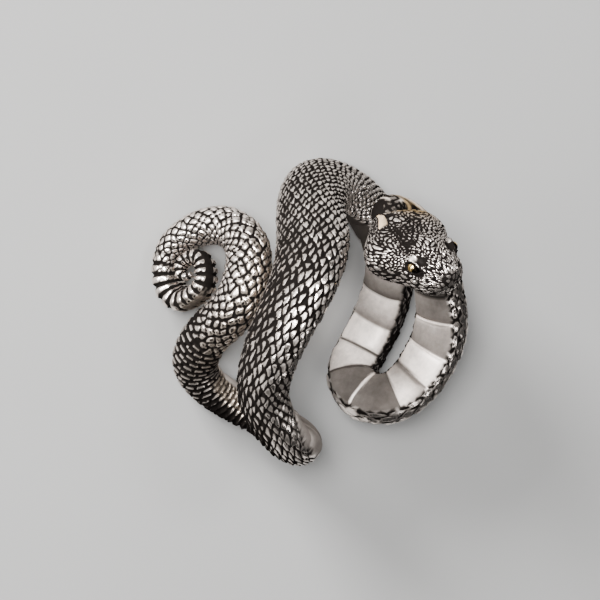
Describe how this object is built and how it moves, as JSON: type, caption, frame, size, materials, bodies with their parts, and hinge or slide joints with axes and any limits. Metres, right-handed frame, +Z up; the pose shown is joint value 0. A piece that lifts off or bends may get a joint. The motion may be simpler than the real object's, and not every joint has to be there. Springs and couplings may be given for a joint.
{
  "type": "snake ring",
  "caption": "Open cast ring in the form of a coiled viper: scaled body wrapped round the finger, tail curled flat at one side, raised head with small bead eyes.",
  "frame": {"origin": "centre of the lying ring's bounding box, at the surface it lies on", "axes": "+Z up from the surface; the ring lies on its side, so the finger hole runs up and leans about 23 degrees towards +Y; the tail coil looks towards -Y and the head stands up on the -X side"},
  "size_m": [0.0262, 0.0298, 0.0222],
  "materials": {
    "silver": "cast silver, blackened in the grooves and polished on the raised scales",
    "eye_gold": "polished gold tone"
  },
  "bodies": {
    "root": {"ring_body": "silver", "left_eye": "eye_gold", "right_eye": "eye_gold"}
  },
  "joints": []
}
